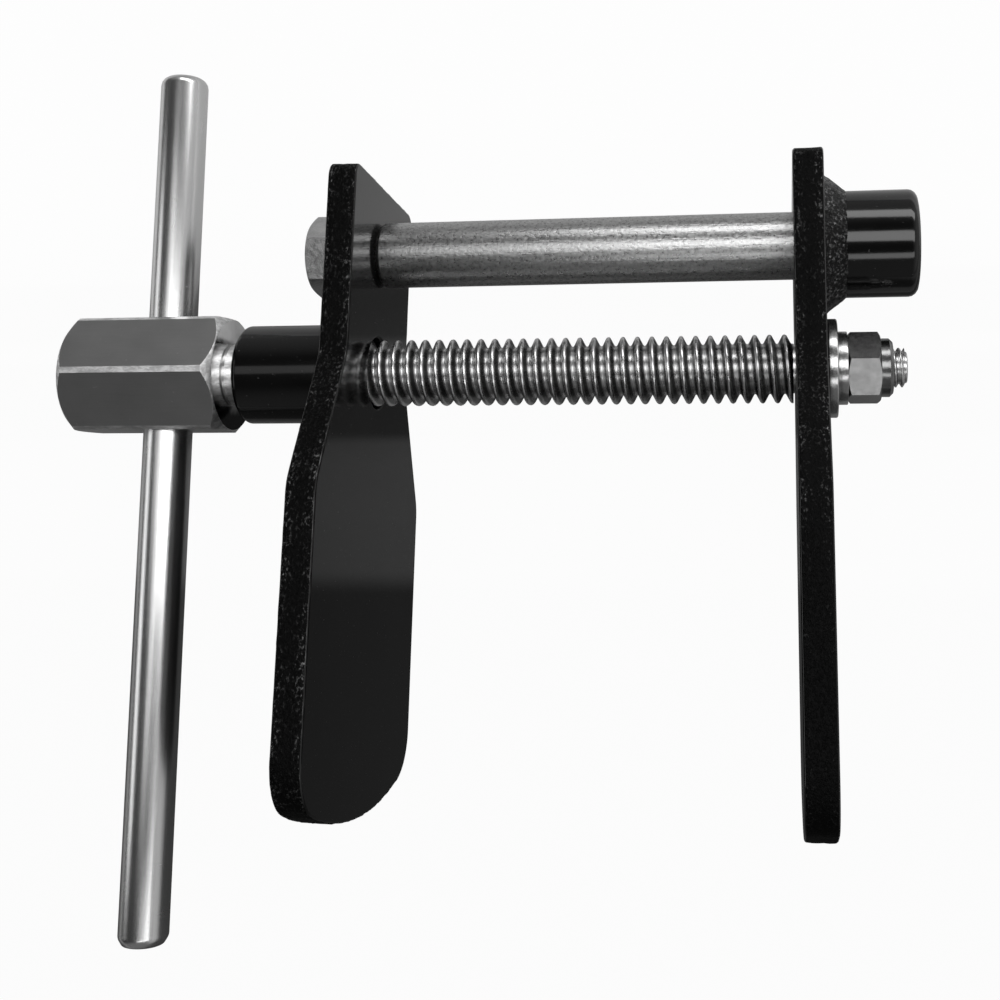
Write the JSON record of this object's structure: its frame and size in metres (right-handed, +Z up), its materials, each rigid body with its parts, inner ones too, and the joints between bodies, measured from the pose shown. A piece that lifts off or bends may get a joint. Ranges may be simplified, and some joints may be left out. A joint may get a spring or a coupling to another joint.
{
  "type": "brake caliper piston tool",
  "caption": "Screw-driven spreader with flat paddle jaws on a guide rod and a sliding tommy bar, for pushing brake pads and pistons back into a caliper.",
  "frame": {"origin": "middle of the underside of the tool's box, with the tool lying on the long edges of its paddles", "axes": "+X along the screw from the hex head to the lock nut, +Y across the screw from the paddles towards the guide rod, +Z up, across the width of the paddles"},
  "size_m": [0.1792, 0.184, 0.07],
  "materials": {
    "black_paint": "glossy black paint over cut steel plate",
    "drawn_steel": "drawn bar, satin and slightly mottled",
    "turned_steel": "turned hex bar with a cut thread",
    "bright_bar": "bright drawn bar, smooth",
    "zinc": "bright zinc plate",
    "nylon": "natural nylon"
  },
  "bodies": {
    "fixed_jaw": {"fixed_jaw_plate": "black_paint", "screw_boss": "black_paint", "screw_boss_weld": "black_paint", "guide_rod": "drawn_steel", "guide_rod_bolt": "zinc", "bolt_spring_washer": "zinc"},
    "moving_jaw": {"moving_jaw_plate": "black_paint", "guide_boss": "black_paint", "guide_boss_weld": "black_paint"},
    "screw": {"lead_screw": "turned_steel", "thrust_washer": "zinc", "nut_spring_washer": "zinc", "lock_nut": "zinc", "nut_insert": "nylon"},
    "bar": {"tommy_bar": "bright_bar"}
  },
  "joints": [
    {"name": "jaw_slide", "type": "slide", "parent": "fixed_jaw", "child": "moving_jaw", "axis": [1, 0, 0], "range_m": [-0.0856, 0.0023]},
    {"name": "screw_turn", "type": "hinge", "parent": "moving_jaw", "child": "screw", "pos_m": [-0.0229, 0.02496, 0.035], "axis": [1, 0, 0], "range_deg": [-10260, 270]},
    {"name": "bar_slide", "type": "slide", "parent": "screw", "child": "bar", "axis": [0, 0.9982, 0.0593], "range_m": [-0.05, 0.1]}
  ],
  "couplings": [
    {"joint": "jaw_slide", "follows": "screw_turn", "m_per_rad": 0.00047746}
  ]
}
